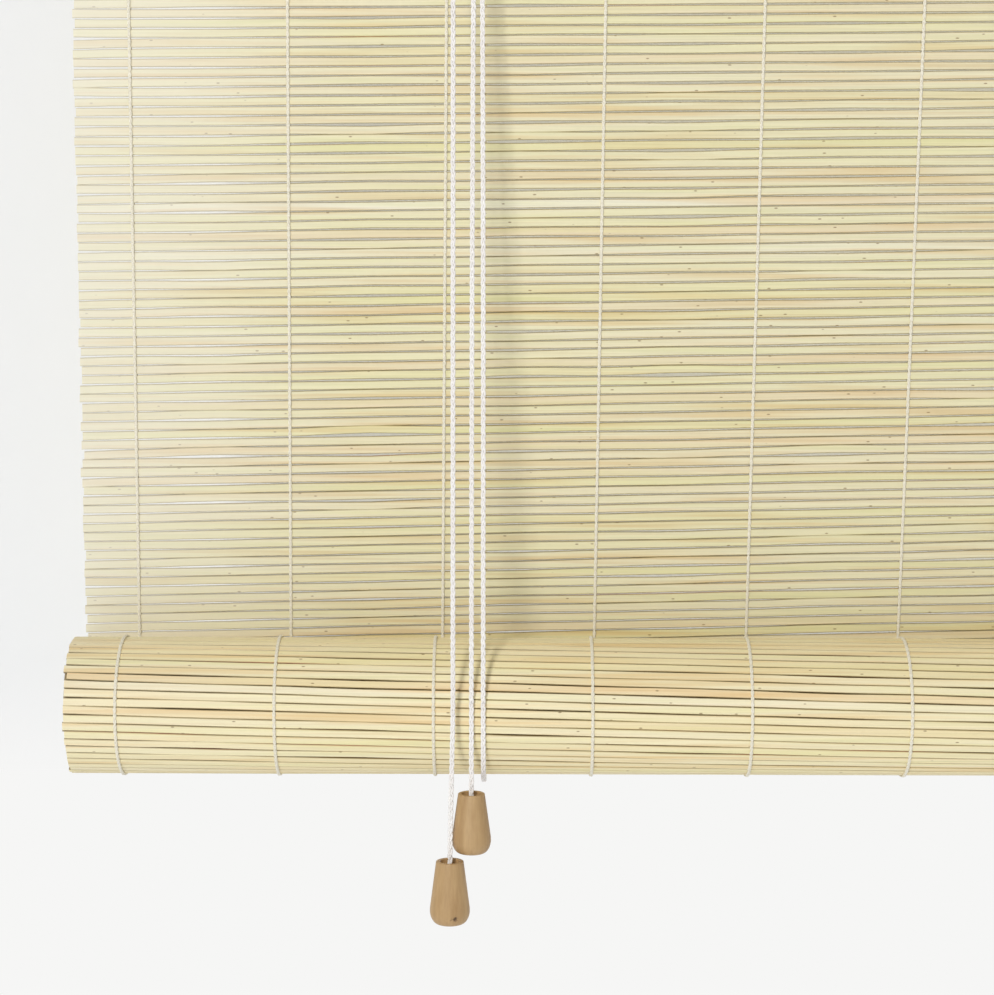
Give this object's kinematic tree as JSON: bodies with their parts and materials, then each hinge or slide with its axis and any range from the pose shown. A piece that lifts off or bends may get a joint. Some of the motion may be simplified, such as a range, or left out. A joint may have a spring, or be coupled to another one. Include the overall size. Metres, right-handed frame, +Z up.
{
  "type": "bamboo roll up blind",
  "caption": "Split bamboo slat blind on cotton warp threads, partly rolled up, lifted by white plaited cords with two turned wooden pulls.",
  "frame": {"origin": "middle of the headrail's top face", "axes": "+Z up, +X along the blind to the right as seen from the room, -Y to the room and +Y to the wall"},
  "size_m": [1, 0.092, 0.6094],
  "materials": {
    "bamboo": "satin, split bamboo",
    "pine": "planed, unfinished",
    "beech": "turned, raw",
    "cotton": "twisted thread",
    "cord": "plaited, white",
    "steel": "zinc plated"
  },
  "bodies": {
    "rail": {"headrail": "pine", "clamp_strip": "pine", "panel_pins": "steel", "clamped_slats": "bamboo", "mat_slats": "bamboo", "warp_thread_01": "cotton", "warp_thread_02": "cotton", "warp_thread_03": "cotton", "warp_thread_04": "cotton", "warp_thread_05": "cotton", "warp_thread_06": "cotton", "warp_thread_07": "cotton", "warp_thread_08": "cotton", "warp_thread_09": "cotton", "warp_thread_10": "cotton", "warp_thread_11": "cotton", "warp_thread_12": "cotton", "warp_thread_13": "cotton", "screw_eye_left_back": "steel", "screw_eye_left_front": "steel", "screw_eye_right": "steel", "cord_staple_left": "steel", "cord_staple_right": "steel", "end_knot_left": "cord", "end_knot_right": "cord", "lift_cord_left_front": "cord", "lift_cord_right_front": "cord", "lift_cord_left_back": "cord", "lift_cord_right_back": "cord", "cross_cord": "cord", "lower_pull_cord_top": "cord"},
    "slings": {"sling_left": "cord", "sling_right": "cord", "upper_pull_cord": "cord", "lower_pull_cord": "cord"},
    "roll": {"rolled_mat": "bamboo", "bottom_rod": "pine"},
    "upper_pull_group": {"upper_pull": "beech", "upper_pull_knot": "cord"},
    "lower_pull_group": {"lower_pull": "beech", "lower_pull_knot": "cord"}
  },
  "joints": [
    {"name": "roll_lift", "type": "slide", "parent": "rail", "child": "slings", "axis": [0, 0, 1], "range_m": [0, 0.38], "deforming": ["mat_slats", "warp_thread_01", "warp_thread_02", "warp_thread_03", "warp_thread_04", "warp_thread_05", "warp_thread_06", "warp_thread_07", "warp_thread_08", "warp_thread_09", "warp_thread_10", "warp_thread_11", "warp_thread_12", "warp_thread_13", "lift_cord_left_front", "lift_cord_right_front", "lower_pull_cord_top", "lift_cord_left_back", "lift_cord_right_back"]},
    {"name": "roll_turn", "type": "hinge", "parent": "slings", "child": "roll", "pos_m": [0, 0.01225, -0.508], "axis": [-1, 0, 0], "range_deg": [0, 633]},
    {"name": "upper_pull_drop", "type": "slide", "parent": "slings", "child": "upper_pull_group", "axis": [0, 0, -1], "range_m": [0, 1.14], "deforming": ["upper_pull_cord"]},
    {"name": "lower_pull_drop", "type": "slide", "parent": "slings", "child": "lower_pull_group", "axis": [0, 0, -1], "range_m": [0, 1.14], "deforming": ["lower_pull_cord"]}
  ],
  "couplings": [
    {"joint": "roll_turn", "follows": "roll_lift", "rad_per_m": 29.07},
    {"joint": "upper_pull_drop", "follows": "roll_lift", "ratio": 3},
    {"joint": "lower_pull_drop", "follows": "roll_lift", "ratio": 3}
  ]
}
